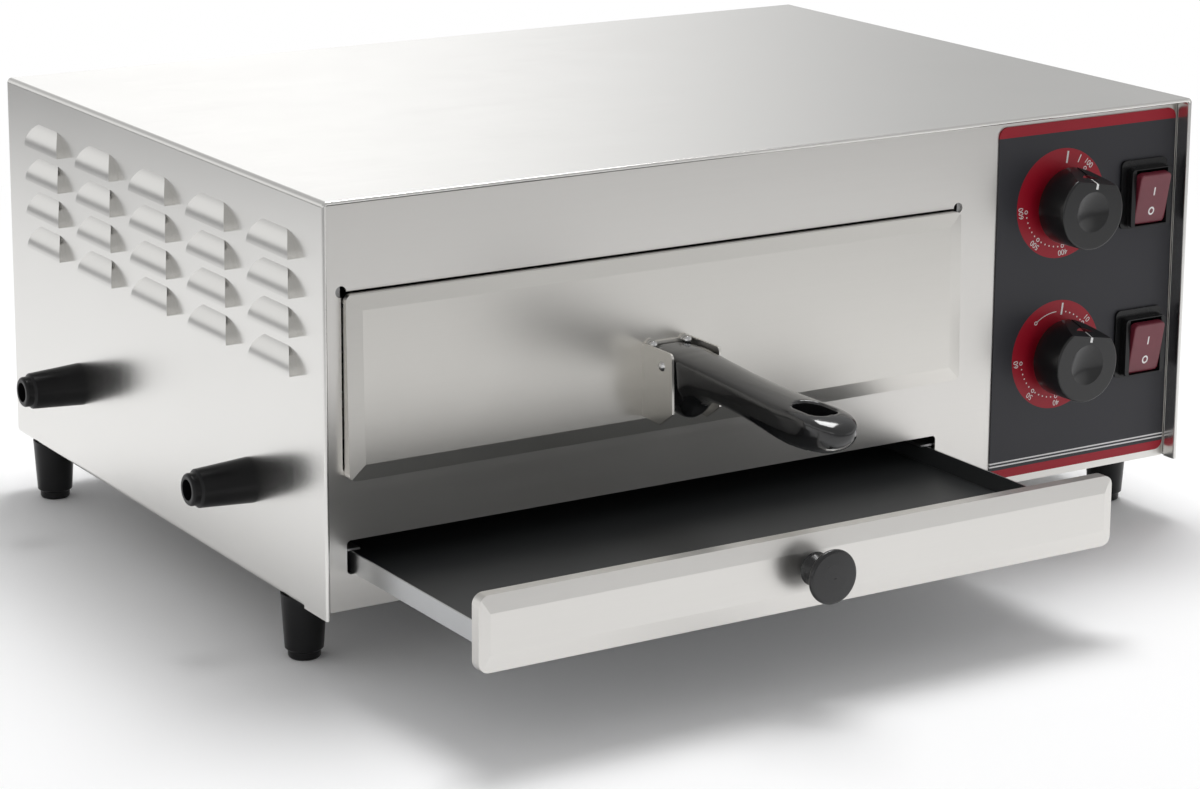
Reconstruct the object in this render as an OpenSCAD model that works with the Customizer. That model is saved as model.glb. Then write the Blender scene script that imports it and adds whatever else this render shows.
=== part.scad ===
// Electric countertop pizza oven with a flap door, a crumb drawer and a control panel.
// Body frame used inside the modules: x = 0 at the middle of the sheet metal body,
// y = 0 at its front lip (the front looks along -Y), z = 0 at its underside.
// placed() then moves everything so that the origin is the bottom centre of the whole part.

/* [Body] */
// Width of the sheet metal body
body_w = 500; // [450:1:550]
// Depth of the body from front lip to back
body_d = 356; // [320:1:390]
// Height of the body without its feet
body_h = 192; // [180:1:210]
// Thickness of the outer sheet
sheet_t = 1; // [0.8:0.1:1.2]
// Outside radius of the bends along the body's long edges
bend_r = 2.6; // [2.4:0.1:4]
// Thickness of the folded hem round the front lip
hem_t = 2.2; // [1.8:0.1:2.4]
// Depth of the folded hem
hem_d = 8; // [5:0.5:9]
// Width of the flanges turned in under the body
under_flange = 24; // [22:1:28]
// Width of the flanges turned in at the back
rear_flange = 13; // [12:0.5:16]

/* [Louvers] */
// Number of louver columns on each side
louver_cols = 5; // [3:1:5]
// Number of louver rows on each side
louver_rows = 4; // [2:1:4]
// Width of a louver along its straight edge
louver_w = 42; // [38:1:46]
// Height of a louver above its straight edge
louver_h = 12; // [11:0.5:14]
// Radius of a louver's rounded ends
louver_r = 16; // [15:0.5:18]
// How far a louver is pressed out
louver_rise = 4.4; // [3.5:0.1:6]
// Distance from the front lip to the first louver's middle
louver_y = 46.2; // [40:0.1:55]
// Distance from the back to the last louver's middle
louver_back = 52.2; // [40:0.1:60]
// Distance from the top down to the top row's straight edge
louver_drop = 30.1; // [28:0.1:40]
// Distance between louver rows
louver_dz = 17.9; // [16:0.1:18]

/* [Front panel] */
// How far the front panel sits behind the lip
panel_y = 10; // [9.5:0.1:11]
// Thickness of the front panel
panel_t = 1; // [0.8:0.1:1.2]
// Depth of the panel's turned-back flanges
panel_flange = 11; // [9:1:14]
// Gap between the opening and the door's side edges
door_gap = 0.6; // [0.5:0.1:1]
// Gap between the opening and the door's top edge
door_top_gap = 0.8; // [0.7:0.1:1.2]
// Radius of the relief holes in the opening's top corners
relief_r = 2.7; // [2:0.1:3.5]
// Height of the lower edge of the oven opening
opening_z = 63.8; // [63.4:0.1:66]
// Distance from the opening's left edge in to the crumb tray slot
slot_left = 1.8; // [1.5:0.1:6]
// Distance from the opening's right edge in to the crumb tray slot
slot_right = 10.2; // [8:0.1:14]
// Lower edge of the crumb tray slot
slot_z = 16.7; // [16:0.1:16.8]
// Height of the crumb tray slot
slot_h = 16; // [15:0.5:18]

/* [Door] */
// Gap between the door's right edge and the control label
door_to_label = 25.1; // [22:0.1:28]
// Distance from the body's top down to the door's top edge
door_drop = 44.7; // [42:0.1:48]
// Lower edge of the door
door_z = 61.7; // [60:0.1:62]
// Gap between the body's left side and the door's left edge
door_left = 14.5; // [14:0.5:16]
// Thickness of the door sheet
door_t = 0.8; // [0.7:0.1:0.9]
// How far the door's top rim stands in front of the panel
door_proud = 3.4; // [3.2:0.1:3.8]
// Lean of the door's face, its foot standing further out
door_lean = 1.5; // [0.5:0.25:2]
// Width of the pressed border
door_hip = 7.5; // [6:0.5:10]
// Depth of the pressed border
door_hip_d = 1.5; // [1:0.1:1.8]
// Corner radius of the door
door_r = 3.6; // [3:0.2:5]
// Bevel along the bend of the door's top edge
door_edge = 0.5; // [0.4:0.05:0.7]
// Distance from the door's top edge down to its hinge axis
hinge_drop = 5.5; // [5.3:0.1:5.8]
// Distance from the door's back edge forward to its hinge axis
hinge_in = 0.4; // [0.3:0.05:0.5]
// Radius of a hinge pin
hinge_pin_r = 1.1; // [1:0.05:1.2]
// Radius of the hinge lug round its pin
hinge_lug_r = 2.05; // [1.9:0.05:2.1]

/* [Handle] */
// Distance of the handle to the left of the door's middle
handle_off = 3.45; // [0:0.05:10]
// Height of the bracket's middle above the door's lower edge
bracket_rise = 26.4; // [26:0.1:34]
// Width of the handle bracket over its cheeks
bracket_w = 27.5; // [26:0.5:32]
// Height of the bracket's back
bracket_h = 35.2; // [34:0.2:40]
// Thickness of the bracket sheet
bracket_t = 1.2; // [1:0.1:1.5]
// How far the bracket's cheeks reach out
bracket_d = 25.5; // [24:0.5:28]
// Reach of the handle from the door's face
handle_len = 144; // [130:0.5:155]
// Radius of the handle's cross rivet
handle_rivet_r = 1.6; // [1.4:0.1:2]
// Length of the hanging hole
hang_l = 24; // [18:0.5:26]
// Width of the hanging hole
hang_w = 14; // [10:0.5:15]
// Distance from the handle's tip to the middle of the hanging hole
hang_in = 24.6; // [22:0.2:28]

/* [Crumb tray] */
// Gap between the slot's side and the tray pan
pan_gap = 3; // [2:0.5:5]
// How much shorter than the chamber the tray pan is
pan_short = 10; // [8:1:30]
// Height of the pan's walls
pan_h = 9.6; // [8:0.2:12]
// Thickness of the pan sheet
pan_t = 0.8; // [0.7:0.1:1]
// How far the tray's front reaches past the slot on each side
front_over = 5.5; // [4:0.5:7]
// Height of the tray's front
front_h = 34.4; // [32:0.2:36]
// Lower edge of the tray's front
front_z = 10.3; // [9:0.1:12]
// Depth of the tray's front with its turned-back rim
front_d = 7; // [6:0.5:9]
// Width of the bevel along the top and the foot of the tray's front
front_hip = 8; // [6:0.5:9]
// Width of the bevel at the ends of the tray's front
front_end_hip = 5; // [4:0.5:7]
// Depth of the bevel round the tray's front
front_hip_d = 1.2; // [0.8:0.1:1.6]
// How far the tray stands pulled out
tray_pulled = 122; // [100:1:140]
// Radius of the tray knob
tray_knob_r = 12.6; // [11:0.2:14]
// Length of the tray knob
tray_knob_l = 15.5; // [14:0.5:20]

/* [Controls] */
// Width of the control label
label_w = 114.8; // [104:0.2:126]
// Distance from the body's top down to the control label
label_drop = 6; // [4:0.1:8]
// Lower edge of the control label
label_z = 3.9; // [2.8:0.1:5]
// Gap between the label and the body's right wall
label_gap = 1.7; // [1.2:0.1:2.5]
// Thickness of the control label
label_t = 0.8; // [0.5:0.1:1.2]
// Distance from the label's top down to the upper control row
row_drop = 42.4; // [38:0.1:46]
// Distance from the label's lower edge up to the lower control row
row_rise = 60.9; // [56:0.1:66]
// Distance from the label's left edge to the knobs
knob_dx = 40.5; // [38:0.5:42]
// Distance from the label's right edge to the switches
switch_in = 19.3; // [18.5:0.1:22]
// How much lower a switch sits than the knob beside it
switch_dz = 1.6; // [0:0.1:3]
// Radius of a control knob at its back
knob_r = 19.7; // [18:0.1:21]
// Radius of a control knob at its face
knob_face_r = 19.4; // [17.5:0.1:20]
// Length of a control knob
knob_l = 18.5; // [16:0.5:22]
// Gap between the label and the knob's rim
knob_off = 6.7; // [5:0.1:8]
// Turn of the pointer away from upright at rest
pointer_turn = 10; // [0:1:20]
// Radius of the control shafts
shaft_r = 3; // [2.8:0.1:3.2]
// Width of a rocker's lens
rocker_w = 20.2; // [19:0.2:21]
// Sweep radius of a rocker about its pivot
rocker_r = 14.2; // [13.6:0.1:14.2]
// Tilt of a rocker each way
rocker_tilt = 11; // [8:0.5:11]
// Width of a switch bezel
bezel_w = 27; // [26.4:0.2:28]
// Height of a switch bezel
bezel_h = 30.8; // [30.6:0.2:33]
// How far the switch's gasket shows above the bezel
gasket_up = 3.8; // [2:0.1:4]
// How far the switch's gasket shows beside the bezel, towards the knob
gasket_side = 3; // [2:0.1:4]

/* [Oven chamber] */
// Thickness of the chamber sheet
chamber_t = 0.8; // [0.7:0.1:1]
// Space between the chamber and the back
chamber_rear = 34; // [30:1:40]
// Space between the chamber's ceiling and the body's top
chamber_drop = 24; // [20:0.5:28]
// How far above the opening's lower edge the wire rack rests
rack_rise = 2.2; // [2:0.1:6]
// Radius of the rack's rim rod
rack_rim_r = 2.5; // [2:0.25:3]
// Radius of the rack's cross rods
rack_rod_r = 1.5; // [1.2:0.1:2]
// Number of the rack's cross rods
rack_rods = 15; // [9:1:19]
// Radius of the heating elements
element_r = 3.25; // [3:0.05:3.5]
// Number of runs of each heating element, always even
element_runs = 6; // [4:2:6]
// Distance from the chamber's front and back to the outer runs
element_margin = 32.5; // [30:0.5:40]
// How far the lower element lies under the opening's lower edge
element_sink = 13.8; // [12:0.2:16]
// How far the upper element hangs under the chamber's ceiling
element_hang = 14; // [12:0.5:16]

/* [Feet] */
// Height of a foot and length of a side bumper
foot_h = 31.5; // [28:0.5:36]
// Radius of a foot where it meets the body
foot_r = 10.8; // [10:0.1:11.5]
// Radius of a foot's narrow tip
foot_tip_r = 7.7; // [7:0.1:8.8]
// Distance from the body's side to a foot's axis
foot_side = 10.8; // [10.8:0.1:13]
// Distance from the front lip to the front feet
foot_front = 44; // [38:1:50]
// Distance from the back to the rear feet
foot_back = 22; // [18:1:30]
// Distance from the front lip to the front side bumper
bumper_front = 77; // [70:1:85]
// Distance from the back to the rear side bumper
bumper_back = 84; // [75:1:95]
// Height of the side bumpers
bumper_z = 46.3; // [40:0.5:55]

/* [Back] */
// Radius of the cord bushing's bore
cord_r = 4.2; // [3.5:0.1:5]
// Height of the cord bushing
cord_z = 34; // [30:1:50]
// How far the cord bushing stands out at the back
cord_out = 6; // [4:0.5:8]

/* [Hidden] */
$fn = 48;

// clearances
fit = 0.1;       // between sheets that are bolted together
run = 0.3;       // between pieces that move past each other
pin_fit = 0.05;  // round a pin or shaft that turns
past = 1;        // how far a cutter runs past what it cuts

// colours
steel = [0.78, 0.78, 0.77];
dark_steel = [0.45, 0.46, 0.47];
black = [0.08, 0.08, 0.09];
ceramic = [0.93, 0.91, 0.86];

// body
half_w = body_w / 2;
inner_x = half_w - sheet_t;
bend_in = bend_r - sheet_t;                 // inside radius of those bends
panel_back = panel_y + panel_t;
flange_y = panel_back + panel_flange + fit; // where the wrapper's lower flanges start
back_in = body_d - sheet_t;                 // inside face of the rear flanges
floor_z = 2 * sheet_t;                      // top of the base pan
panel_top = body_h - sheet_t - fit;

// louvers: each is a curved slope with upright rounded ends, open along its lower edge
louver_ball = (louver_rise * louver_rise + louver_h * louver_h) / (2 * louver_rise);
louver_sink = louver_ball - louver_rise;
louver_cut = louver_h + 1.5;                // height of the outline that trims the slope
louver_dip = louver_r - louver_cut;
louver_end = louver_w / 2 - sqrt(louver_r * louver_r - louver_dip * louver_dip);
louver_dy = (body_d - louver_y - louver_back) / (louver_cols - 1);
louver_z = body_h - louver_drop;

// control label
label_x1 = inner_x - label_gap;
label_x0 = label_x1 - label_w;
label_y = panel_y - label_t;
label_top = body_h - label_drop;

// door, in the body frame
door_x0 = -half_w + door_left;
door_x1 = label_x0 - door_to_label;
door_mid = (door_x0 + door_x1) / 2;
door_top = body_h - door_drop;
door_h = door_top - door_z;
door_rear = panel_y - run;                  // back edge of the door's turned-in rim
rim_y = panel_y - door_proud;               // rim of the door at its top edge
hinge_y = door_rear - hinge_in;
hinge_z = door_top - hinge_drop;
function rim_at(z) = rim_y - (door_top - z) * tan(door_lean);
function face_at(z) = rim_at(z) - door_hip_d;

// chamber and panel opening
bay_x0 = door_x0 - door_gap;
bay_x1 = door_x1 + door_gap;
opening_top = door_top + door_top_gap;
chamber_back = back_in - chamber_rear;
chamber_d = chamber_back - panel_back;
chamber_top = body_h - chamber_drop;
rack_z = opening_z + rack_rise;

// hinge lugs sit inside the door's side rims
lug_t = 1.2;
lug_x0 = door_x0 + door_t + run;
lug_x1 = door_x1 - door_t - run - lug_t;
lug_root = [6, 24, -20, -7];                // block behind a lug, y and z from the hinge axis
ear_r = hinge_pin_r + 1.4;                  // round ear of the door's rim that holds a pin

// crumb tray
slot_x0 = bay_x0 + slot_left;
slot_x1 = bay_x1 - slot_right;
tray_mid = (slot_x0 + slot_x1) / 2;
pan_w = slot_x1 - slot_x0 - 2 * pan_gap;
pan_d = chamber_d - pan_short;
pan_front_h = 17;                           // front wall of the pan, behind the tray's front
front_w = slot_x1 - slot_x0 + 2 * front_over;
front_y = panel_y - run - front_d - tray_pulled;   // front face where it stands pulled out
pan_y = front_y + pan_t + front_hip_d + fit;
pan_z = slot_z + 0.5;
rail_lip = 4.5;                             // how far a rail reaches over and under the pan
rail_t = 1;

// controls
row_high = label_top - row_drop;
row_low = label_z + row_rise;
knob_x = label_x0 + knob_dx;
switch_x = label_x1 - switch_in;
knob_back = label_y - knob_off;
knob_face = knob_back - knob_l;
shaft_hole = shaft_r + 2;
knob_hub_r = shaft_r + 3.2;
rocker_face = 4.8;                          // from a rocker's pivot to its face
rocker_back = 5;
rocker_y = label_y - 2.2;                   // pivot
bezel_y = label_y - 5.8;
gasket_t = 1.4;
body_switch_w = bezel_w - 2;
body_switch_h = bezel_h - 2;
body_switch_d = 26;

// heating elements
element_pitch = (chamber_d - 2 * element_margin) / (element_runs - 1);
element_bend = element_pitch / 2;
element_low_z = opening_z - element_sink;
element_high_z = chamber_top - element_hang;
element_y0 = panel_back + element_margin;
element_x0 = bay_x0 + 12 + element_bend + element_r;
element_x1 = bay_x1 - 12 - element_bend - element_r;
terminal_x = bay_x1 + 16;
bushing_r = element_r + 2.5;
bushing_in = 2;                             // into the chamber
bushing_out = 9;
bar_t = 2;
function run_y(i) = element_y0 + i * element_pitch;

// feet
foot_x = half_w - foot_side;
foot_yb = body_d - foot_back;
bumper_yb = body_d - bumper_back;
screw_r = 2.5;
foot_bore = 5;
foot_web = 5;                               // plastic left above the screw recess

// cord bushing
cord_x = label_x0 + 62;
cord_hole = cord_r + 3.4;

// whole part, for the origin
part_x0 = -half_w - foot_h;
part_x1 = half_w + louver_rise;
handle_x = door_mid - handle_off;
bracket_z = door_z + bracket_rise;
handle_tip = face_at(bracket_z) - handle_len * cos(door_lean);
tray_tip = front_y - tray_knob_l;
part_y0 = min(handle_tip, tray_tip);
part_y1 = body_d + cord_out;

module placed()
{
    translate([-(part_x0 + part_x1) / 2, -(part_y0 + part_y1) / 2, foot_h]) children();
}

// ---------- helpers ----------

module slab(x0, x1, y0, y1, z0, z1)
{
    translate([x0, y0, z0]) cube([x1 - x0, y1 - y0, z1 - z0]);
}

// outline drawn in x and z, as thick as y0 to y1
module along_y(y0, y1)
{
    translate([0, y1, 0]) rotate([90, 0, 0]) linear_extrude(y1 - y0) children();
}

// outline drawn in y and z, as thick as x0 to x1
module along_x(x0, x1)
{
    translate([x0, 0, 0]) rotate([90, 0, 90]) linear_extrude(x1 - x0) children();
}

module round_rect(x0, x1, z0, z1, r)
{
    translate([x0 + r, z0]) square([x1 - x0 - 2 * r, z1 - z0]);
    translate([x0, z0 + r]) square([x1 - x0, z1 - z0 - 2 * r]);
    for (x = [x0 + r, x1 - r], z = [z0 + r, z1 - r]) translate([x, z]) circle(r);
}

module round_slab(x0, x1, y0, y1, z0, z1, r)
{
    along_y(y0, y1) round_rect(x0, x1, z0, z1, r);
}

// round bar from y0 to y1
module pin_y(x, z, y0, y1, r)
{
    translate([x, y1, z]) rotate([90, 0, 0]) cylinder(h = y1 - y0, r = r);
}

// round bar from x0 to x1
module pin_x(y, z, x0, x1, r)
{
    translate([x0, y, z]) rotate([0, 90, 0]) cylinder(h = x1 - x0, r = r);
}

// revolved outline (radius, depth) turned so that depth 0 is at y and grows towards -Y
module turned_y(x, y, z)
{
    translate([x, y, z]) rotate([90, 0, 0]) rotate_extrude() children();
}

// quarter or half bend of a round bar lying level
module bend_z(x, y, z, radius, bar_r, start, sweep)
{
    translate([x, y, z]) rotate([0, 0, start]) rotate_extrude(angle = sweep)
        translate([radius, 0]) circle(bar_r);
}

// ---------- outer casing ----------

module body_outline(inset)
{
    round_rect(-half_w + inset, half_w - inset, inset, body_h - inset, bend_r - min(inset, bend_r / 2));
}

module body_shell(y0, y1, wall)
{
    along_y(y0, y1) difference()
    {
        body_outline(0);
        body_outline(wall);
    }
}

// the body's outline with square feet, for the front where no flange is turned in
module arch_outline(inset, foot)
{
    body_outline(inset);
    translate([-half_w + inset, -foot]) square([body_w - 2 * inset, body_h / 2]);
}

module arch_shell(y0, y1, wall)
{
    along_y(y0, y1) difference()
    {
        arch_outline(0, 0);
        arch_outline(wall, past);
    }
}

module hem_nose()
{
    r = hem_t / 2;
    off = bend_r - r;
    for (s = [-1, 1])
    {
        translate([s * (half_w - r), r, 0]) cylinder(h = body_h - bend_r, r = r);
        translate([s * (half_w - bend_r), r, body_h - bend_r]) rotate([90, s > 0 ? 0 : -90, 0])
            rotate_extrude(angle = 90) translate([off, 0]) circle(r);
    }
    pin_x(r, body_h - r, -half_w + bend_r, half_w - bend_r, r);
}

// outline of a louver on the wall, its straight edge at z = 0
module louver_outline(inset)
{
    r = louver_r - inset;
    intersection()
    {
        union()
        {
            for (s = [-1, 1]) translate([s * louver_end, -louver_dip]) circle(r);
            translate([-louver_end, -louver_dip]) square([2 * louver_end, r]);
        }
        translate([-louver_w, 0]) square([2 * louver_w, 2 * louver_h]);
    }
}

// a louver's slope is part of a cylinder that lies along the wall
module louver(y, z, inset, x_in)
{
    intersection()
    {
        pin_y(-half_w + louver_sink, z, y - louver_w, y + louver_w, louver_ball - inset);
        along_x(-half_w - louver_rise - past, x_in) translate([y, z]) louver_outline(inset);
    }
}

module louver_field(inset, x_in)
{
    for (s = [0, 1]) mirror([s, 0, 0])
        for (i = [0 : louver_cols - 1], j = [0 : louver_rows - 1])
            louver(louver_y + i * louver_dy, louver_z - j * louver_dz, inset, x_in);
}

module outer_wrapper() placed() color(steel) difference()
{
    union()
    {
        arch_shell(hem_t / 2, flange_y, sheet_t);
        body_shell(flange_y, body_d, sheet_t);
        arch_shell(hem_t / 2, hem_d, hem_t);
        hem_nose();
        difference()
        {
            along_y(back_in, body_d) body_outline(sheet_t / 2);
            slab(-half_w + rear_flange, half_w - rear_flange, back_in - past, body_d + past,
                rear_flange, body_h - rear_flange);
        }
        louver_field(0, -half_w + sheet_t / 2);
    }
    louver_field(sheet_t, -half_w + 2 * sheet_t);
    slab(-half_w + under_flange, half_w - under_flange, flange_y - past, back_in, -past, sheet_t + past);
    for (s = [-1, 1], y = [foot_front, foot_yb])
        translate([s * foot_x, y, -past]) cylinder(h = sheet_t + 2 * past, r = screw_r + fit);
    for (y = [bumper_front, bumper_yb])
        pin_x(y, bumper_z, -half_w - past, -inner_x + past, screw_r + fit);
    for (p = back_screws) pin_y(p[0], p[1], back_in - past, body_d + past, back_screw_r + fit);
}

back_screw_r = 1.7;
back_screw_head = [3.4, 2];                 // radius and height
back_screw_l = 6;
back_screw_in = 7;                          // from the body's edge to a screw
back_screw_z = 0.2 * body_h;                // height of the lower side screws
back_screws = [for (x = [-1, 1], z = [back_screw_z, body_h - back_screw_z])
        [x * (half_w - back_screw_in), z],
    for (x = [-0.24, 0, 0.24]) [x * body_w, body_h - back_screw_in]];
rear_return = 12;                           // flange turned in along the back panel's top

module back_panel() placed() color(steel) difference()
{
    union()
    {
        round_slab(-inner_x + fit, inner_x - fit, back_in - sheet_t - fit, back_in - fit,
            floor_z + fit, panel_top, bend_in);
        slab(-inner_x + bend_in + fit, inner_x - bend_in - fit, back_in - rear_return, back_in - fit,
            panel_top - sheet_t, panel_top);
    }
    pin_y(cord_x, cord_z, back_in - 2 * sheet_t, back_in + past, cord_hole + fit);
    for (p = back_screws)
        pin_y(p[0], p[1], back_in - 2 * sheet_t, back_in + past, back_screw_r - 0.2);
}

module base_pan() placed() color(dark_steel) difference()
{
    slab(-inner_x + bend_in + fit, inner_x - bend_in - fit, panel_back + fit, back_in - fit,
        sheet_t, floor_z);
    for (s = [-1, 1], y = [foot_front, foot_yb])
        translate([s * foot_x, y, 0]) cylinder(h = floor_z + past, r = screw_r + fit);
}

module back_panel_screws() placed() color(steel)
    for (p = back_screws)
    {
        pin_y(p[0], p[1], body_d - back_screw_l, body_d, back_screw_r - 0.25);
        turned_y(p[0], body_d + back_screw_head[1], p[1]) difference()
        {
            square(back_screw_head);
            translate([0, -past]) square([0.6, 2 * past]);
        }
    }

// ---------- front ----------

module front_panel() placed() color(steel) difference()
{
    union()
    {
        round_slab(-inner_x + run, inner_x - run, panel_y, panel_back, 0, panel_top, bend_in);
        for (z = [0, panel_top - panel_t])
            slab(-inner_x + run + bend_in, inner_x - run - bend_in, panel_y, panel_back + panel_flange,
                z, z + panel_t);
    }
    round_slab(bay_x0, bay_x1, panel_y - past, panel_back + past, opening_z, opening_top, door_r);
    for (x = [bay_x0, bay_x1])
        pin_y(x, opening_top, panel_y - past, panel_back + past, relief_r);
    round_slab(slot_x0, slot_x1, panel_y - past, panel_back + past, slot_z, slot_z + slot_h, 2);
    for (z = [row_high, row_low])
    {
        pin_y(knob_x, z, panel_y - past, panel_back + past, shaft_hole);
        switch_hole(z, panel_y - past, panel_back + past);
    }
}

module switch_hole(z, y0, y1)
{
    slab(switch_x - body_switch_w / 2 - fit, switch_x + body_switch_w / 2 + fit, y0, y1,
        z - switch_dz - body_switch_h / 2 - fit, z - switch_dz + body_switch_h / 2 + fit);
}

module control_label() placed() color([0.23, 0.23, 0.25]) difference()
{
    round_slab(label_x0, label_x1, label_y, panel_y, label_z, label_top, 5);
    for (z = [row_high, row_low])
    {
        pin_y(knob_x, z, label_y - past, panel_y + past, shaft_hole);
        switch_hole(z, label_y - past, panel_y + past);
    }
}

// ---------- oven chamber ----------

nut_room = 7;                               // room kept round a foot's nut
chamber_flange = 8;
shield_x = bay_x1 + 26.9;
shield_foot = 10;
shield_low = 5;                             // from the thin tube down to the shield

module oven_chamber() placed() color(dark_steel) difference()
{
    union()
    {
        slab(bay_x0 - chamber_t, bay_x0, panel_back, chamber_back + chamber_t,
            floor_z, chamber_top + chamber_t);
        slab(bay_x1, bay_x1 + chamber_t, panel_back, chamber_back + chamber_t,
            floor_z, chamber_top + chamber_t);
        slab(bay_x0 - chamber_t, bay_x1 + chamber_t, panel_back, chamber_back + chamber_t,
            chamber_top, chamber_top + chamber_t);
        slab(bay_x0 - chamber_t, bay_x1 + chamber_t, chamber_back, chamber_back + chamber_t,
            floor_z, chamber_top + chamber_t);
        chamber_flanges();
    }
    for (z = [element_low_z, element_high_z], y = [run_y(0), run_y(element_runs - 1)])
        pin_x(y, z, bay_x1 - past, bay_x1 + chamber_t + past, bushing_r + fit);
    pin_x(bulb_y, bulb_z, bay_x1 - past, bay_x1 + chamber_t + past, capillary_r + 0.6);
    slab(-foot_x - nut_room, -foot_x + nut_room, foot_front - nut_room, foot_front + nut_room,
        floor_z - past, floor_z + nut_room);
}

module chamber_flanges()
{
    w = chamber_flange;
    y1 = panel_back + chamber_t;
    slab(bay_x0 - w, bay_x0, panel_back, y1, floor_z, chamber_top + chamber_t);
    slab(bay_x1, bay_x1 + w, panel_back, y1, floor_z, chamber_top + chamber_t);
    slab(bay_x0 - w, bay_x1 + w, panel_back, y1, chamber_top, chamber_top + w);
    for (x = [bay_x0 - w, bay_x1 + chamber_t])
        slab(x, x + w - chamber_t, panel_back, chamber_back, floor_z, floor_z + chamber_t);
}

// upright sheet between the chamber and the controls, under the thermostat's thin tube
module heat_shield() placed() color(dark_steel)
{
    y1 = back_in - rear_return - fit;
    slab(shield_x, shield_x + chamber_t, flange_y, y1, floor_z, bulb_z - shield_low);
    slab(shield_x - shield_foot, shield_x + chamber_t, flange_y, y1, floor_z, floor_z + chamber_t);
}

// lug whose neck drops away behind the hinge axis, clear of the door's swinging top edge
module hinge_lug(x, wall_x, side)
{
    r = hinge_lug_r;
    k = 0.88 * r * sin(45);
    inner = side > 0 ? x + lug_t : x;
    difference()
    {
        union()
        {
            pin_x(hinge_y, hinge_z, x, x + lug_t, r);
            along_x(x, x + lug_t) translate([hinge_y, hinge_z])
                polygon([[k, k], [-k, -k], [lug_root[0], lug_root[2] + 8], [lug_root[1], lug_root[2]],
                    [lug_root[1], lug_root[3]], [lug_root[0] + 3, lug_root[3]]]);
            slab(min(wall_x, inner), max(wall_x, inner), hinge_y + lug_root[0] + 3, hinge_y + lug_root[1],
                hinge_z + lug_root[2], hinge_z + lug_root[3]);
        }
        pin_x(hinge_y, hinge_z, x - past, x + lug_t + past, hinge_pin_r + pin_fit);
    }
}

module hinge_lug_left() placed() color(dark_steel) hinge_lug(lug_x0, bay_x0, 1);
module hinge_lug_right() placed() color(dark_steel) hinge_lug(lug_x1, bay_x1, -1);

// channel that carries the edge of the tray pan; side 1 is the left one
module tray_rail(wall_x, side)
{
    edge = tray_mid - side * pan_w / 2;
    x0 = min(wall_x, edge + side * rail_lip);
    x1 = max(wall_x, edge + side * rail_lip);
    y0 = panel_back + chamber_t + fit;
    y1 = chamber_back;
    low = pan_z - run;
    high = pan_z + pan_h + run;
    web0 = min(wall_x, wall_x + side * rail_t);
    slab(x0, x1, y0, y1, low - rail_t, low);
    slab(x0, x1, y0, y1, high, high + rail_t);
    slab(web0, web0 + rail_t, y0, y1, low - rail_t, high + rail_t);
}

module tray_rail_left() placed() color(dark_steel) tray_rail(bay_x0, 1);
module tray_rail_right() placed() color(dark_steel) tray_rail(bay_x1, -1);

module rack_ledge(wall_x, side)
{
    w = 9;
    x0 = min(wall_x, wall_x + side * w);
    web0 = min(wall_x, wall_x + side * rail_t);
    slab(x0, x0 + w, panel_back + 6, chamber_back, rack_z - rail_t, rack_z);
    slab(web0, web0 + rail_t, panel_back + 6, chamber_back, rack_z - 7, rack_z);
}

module rack_ledge_left() placed() color(dark_steel) rack_ledge(bay_x0, 1);
module rack_ledge_right() placed() color(dark_steel) rack_ledge(bay_x1, -1);

module wire_rack() placed() color(steel)
{
    x0 = bay_x0 + 4 + rack_rim_r;
    x1 = bay_x1 - 4 - rack_rim_r;
    y0 = panel_back + 8;
    y1 = chamber_back - 5;
    z = rack_z + rack_rim_r;
    r = 12;
    for (y = [y0, y1]) pin_x(y, z, x0 + r, x1 - r, rack_rim_r);
    for (x = [x0, x1]) pin_y(x, z, y0 + r, y1 - r, rack_rim_r);
    for (c = [[x0 + r, y0 + r, 180], [x1 - r, y0 + r, 270], [x1 - r, y1 - r, 0], [x0 + r, y1 - r, 90]])
        bend_z(c[0], c[1], z, r, rack_rim_r, c[2], 90);
    for (i = [0 : rack_rods - 1])
        pin_y(x0 + r + (i + 0.5) * (x1 - x0 - 2 * r) / rack_rods, z + rack_rim_r, y0 - 1, y1 + 1,
            rack_rod_r);
}

// ---------- heating elements ----------

module element(z)
{
    last = element_runs - 1;
    for (i = [0 : last])
        pin_x(run_y(i), z, element_x0, (i == 0 || i == last) ? terminal_x : element_x1, element_r);
    for (i = [0 : 2 : last])
        bend_z(element_x0, run_y(i) + element_bend, z, element_bend, element_r, 90, 180);
    for (i = [1 : 2 : last - 1])
        bend_z(element_x1, run_y(i) + element_bend, z, element_bend, element_r, 270, 180);
}

module upper_element() placed() color([0.3, 0.28, 0.27]) element(element_high_z);
module lower_element() placed() color([0.3, 0.28, 0.27]) element(element_low_z);

bar_xs = [element_x0 + 14, element_x1 - 14];

bar_rim = 7;                                // metal left above and below an element
bar_end = 5;                                // metal left past the outer runs
hanger_foot = 10;

module element_bar(x, z, z0, z1, y0, y1)
{
    difference()
    {
        slab(x, x + bar_t, y0, y1, z0, z1);
        for (i = [0 : element_runs - 1]) pin_x(run_y(i), z, x - past, x + bar_t + past, element_r + fit);
    }
}

module upper_element_hangers() placed() color(dark_steel)
    for (x = bar_xs)
    {
        y0 = run_y(0) - bar_end;
        y1 = run_y(element_runs - 1) + bar_end;
        element_bar(x, element_high_z, element_high_z - bar_rim, chamber_top, y0, y1);
        slab(x, x + hanger_foot, y0, y1, chamber_top - chamber_t, chamber_top);
    }

module lower_element_stands() placed() color(dark_steel)
    for (x = bar_xs)
        element_bar(x, element_low_z, element_low_z - bar_rim, element_low_z + bar_rim,
            panel_back, chamber_back);

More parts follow.
